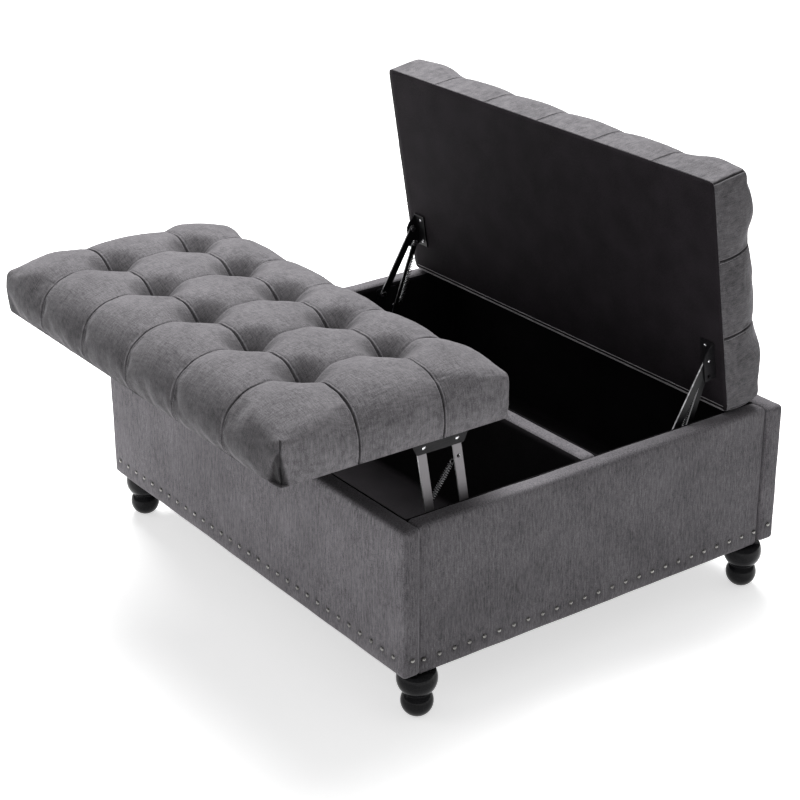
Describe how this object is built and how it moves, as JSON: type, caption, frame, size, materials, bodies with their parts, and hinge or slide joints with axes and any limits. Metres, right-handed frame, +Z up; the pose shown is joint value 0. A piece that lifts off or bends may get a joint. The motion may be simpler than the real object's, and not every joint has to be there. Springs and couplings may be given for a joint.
{
  "type": "storage bench",
  "caption": "Upholstered storage bench on turned feet, with a tufted seat tray that lifts forward on parallel arms and a tufted rear lid on sprung hinges over a divided box.",
  "frame": {"origin": "on the floor under the middle of the whole bench's box, as posed at rest with both seats open", "axes": "+X along the bench, to the right of a person facing the front; -Y out of the front, where the tray comes forward; +Z up"},
  "size_m": [1.0438, 1.124, 0.8752],
  "materials": {
    "upholstery": "matte",
    "lining": "matte",
    "board": "matte",
    "foot_gloss": "gloss",
    "lift_steel": "satin",
    "hinge_steel": "satin",
    "rivet_steel": "polished",
    "spring_steel": "satin"
  },
  "bodies": {
    "base": {"front_panel": "upholstery", "back_panel": "upholstery", "left_end_panel": "upholstery", "right_end_panel": "upholstery", "dust_cover": "lining", "floor_board": "board", "divider": "upholstery", "front_left_corner_block": "board", "front_right_corner_block": "board", "rear_left_corner_block": "board", "rear_right_corner_block": "board", "front_left_foot": "foot_gloss", "front_right_foot": "foot_gloss", "rear_left_foot": "foot_gloss", "rear_right_foot": "foot_gloss", "front_lining": "lining", "rear_lining": "lining", "left_lift_plate": "lift_steel", "right_lift_plate": "lift_steel", "left_lift_front_lower_rivet": "rivet_steel", "right_lift_front_lower_rivet": "rivet_steel", "left_lift_rear_lower_rivet": "rivet_steel", "right_lift_rear_lower_rivet": "rivet_steel", "left_hinge_plate": "hinge_steel", "right_hinge_plate": "hinge_steel", "left_hinge_long_lower_rivet": "rivet_steel", "right_hinge_long_lower_rivet": "rivet_steel", "left_hinge_short_lower_rivet": "rivet_steel", "right_hinge_short_lower_rivet": "rivet_steel"},
    "tray_front_arms": {"left_lift_front_arm": "lift_steel", "right_lift_front_arm": "lift_steel", "left_lift_spring": "spring_steel", "right_lift_spring": "spring_steel"},
    "tray": {"tray_cushion": "upholstery", "tray_board": "board", "tray_underside": "lining", "left_tray_rail": "lift_steel", "right_tray_rail": "lift_steel", "left_lift_front_upper_rivet": "rivet_steel", "right_lift_front_upper_rivet": "rivet_steel"},
    "tray_rear_arms": {"left_lift_rear_arm": "lift_steel", "right_lift_rear_arm": "lift_steel", "left_lift_rear_upper_rivet": "rivet_steel", "right_lift_rear_upper_rivet": "rivet_steel"},
    "lid_long_arms": {"left_hinge_long_arm": "hinge_steel", "right_hinge_long_arm": "hinge_steel"},
    "lid": {"lid_cushion": "upholstery", "lid_board": "board", "lid_underside": "lining", "left_lid_bracket": "hinge_steel", "right_lid_bracket": "hinge_steel", "left_hinge_long_upper_rivet": "rivet_steel", "right_hinge_long_upper_rivet": "rivet_steel"},
    "lid_short_arms": {"left_hinge_short_arm": "hinge_steel", "right_hinge_short_arm": "hinge_steel", "left_hinge_short_upper_rivet": "rivet_steel", "right_hinge_short_upper_rivet": "rivet_steel", "left_hinge_spring": "spring_steel", "right_hinge_spring": "spring_steel"}
  },
  "joints": [
    {"name": "tray_lift", "type": "hinge", "parent": "base", "child": "tray_front_arms", "pos_m": [0, -0.23397, 0.33507], "axis": [1, 0, 0], "range_deg": [-87, 0]},
    {"name": "tray_level", "type": "hinge", "parent": "tray_front_arms", "child": "tray", "pos_m": [0, -0.261, 0.50575], "axis": [1, 0, 0], "range_deg": [0, 87]},
    {"name": "tray_rear_arm_pivot", "type": "hinge", "parent": "base", "child": "tray_rear_arms", "pos_m": [0, -0.16297, 0.33507], "axis": [1, 0, 0], "range_deg": [-87, 0]},
    {"name": "lid_swing", "type": "hinge", "parent": "base", "child": "lid_long_arms", "pos_m": [0, 0.32247, 0.36354], "axis": [1, 0, 0], "range_deg": [-55.2, 0]},
    {"name": "lid_turn", "type": "hinge", "parent": "lid_long_arms", "child": "lid", "pos_m": [0, 0.40299, 0.49946], "axis": [1, 0, 0], "range_deg": [0, 136.2]},
    {"name": "lid_short_arm_pivot", "type": "hinge", "parent": "base", "child": "lid_short_arms", "pos_m": [0, 0.3365, 0.2863], "axis": [1, 0, 0], "range_deg": [-43.79, 0]}
  ],
  "couplings": [
    {"joint": "tray_level", "follows": "tray_lift", "ratio": -1},
    {"joint": "tray_rear_arm_pivot", "follows": "tray_lift", "ratio": 1},
    {"joint": "lid_turn", "follows": "lid_swing", "ratio": -2.4675},
    {"joint": "lid_short_arm_pivot", "follows": "lid_swing", "ratio": 0.79327}
  ]
}
